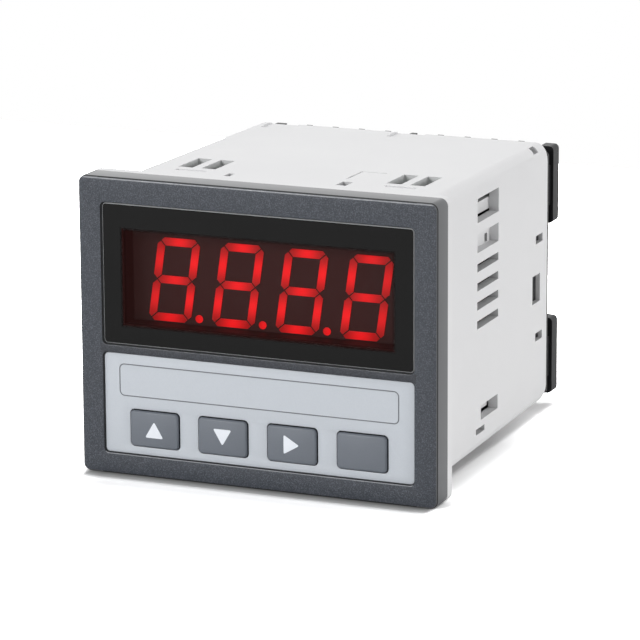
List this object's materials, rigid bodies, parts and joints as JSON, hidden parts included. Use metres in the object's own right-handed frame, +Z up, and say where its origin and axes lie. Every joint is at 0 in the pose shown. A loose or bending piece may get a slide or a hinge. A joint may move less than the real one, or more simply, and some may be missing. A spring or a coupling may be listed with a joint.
{
  "type": "digital panel meter",
  "caption": "Flush-mounting digital panel meter: dark bezel with a lit LED display and push keys, vented light housing and screw terminal blocks at the rear.",
  "frame": {"origin": "centre of the plane where the back of the housing's flange meets the front of the cabinet panel", "axes": "+X to the right seen from the front, +Y back into the cabinet, +Z up"},
  "size_m": [0.096, 0.1057, 0.0762],
  "materials": {
    "bezel": "fine spark texture",
    "lens": "smoked, gloss",
    "fascia": "satin film",
    "key": "satin",
    "black": "satin",
    "shroud": "matte",
    "module": "matte",
    "led": "lit diffuser",
    "board": "solder mask",
    "switch": "stamped",
    "screw": "zinc plated",
    "housing": "fine matte",
    "cover": "satin",
    "terminal_block": "satin",
    "brass": "tinned brass",
    "plated_steel": "nickel plated",
    "core": "laminated",
    "coil": "taped",
    "capacitor": "shrink sleeve",
    "relay": "moulded",
    "disc": "dipped"
  },
  "bodies": {
    "case": {"bezel": "bezel", "display_lens": "lens", "key_fascia": "fascia", "display_shroud": "shroud", "led_module": "module", "digit_segments": "led", "decimal_points": "led", "display_board": "board", "key_switches": "switch", "board_screws": "screw", "housing": "housing", "rear_cover": "cover", "upper_terminal_block": "terminal_block", "lower_terminal_block": "terminal_block", "upper_terminals": "brass", "lower_terminals": "brass", "upper_washers": "plated_steel", "lower_washers": "plated_steel", "upper_terminal_screws": "screw", "lower_terminal_screws": "screw", "signal_board": "board", "power_board": "board", "board_links": "black", "transformer_core": "core", "transformer_coil": "coil", "filter_capacitors": "capacitor", "output_relays": "relay", "surge_disc": "disc", "fuse_holder": "black", "signal_chips": "black"},
    "up_key": {"key_up": "key", "plunger_up": "black"},
    "down_key": {"key_down": "key", "plunger_down": "black"},
    "right_key": {"key_right": "key", "plunger_right": "black"},
    "set_key": {"key_set": "key", "plunger_set": "black"}
  },
  "joints": [
    {"name": "up_key_press", "type": "slide", "parent": "case", "child": "up_key", "axis": [0, 1, 0], "range_m": [0, 0.0006], "stiffness_N_per_m": 400, "springref_m": -0.0005},
    {"name": "down_key_press", "type": "slide", "parent": "case", "child": "down_key", "axis": [0, 1, 0], "range_m": [0, 0.0006], "stiffness_N_per_m": 400, "springref_m": -0.0005},
    {"name": "right_key_press", "type": "slide", "parent": "case", "child": "right_key", "axis": [0, 1, 0], "range_m": [0, 0.0006], "stiffness_N_per_m": 400, "springref_m": -0.0005},
    {"name": "set_key_press", "type": "slide", "parent": "case", "child": "set_key", "axis": [0, 1, 0], "range_m": [0, 0.0006], "stiffness_N_per_m": 400, "springref_m": -0.0005}
  ]
}
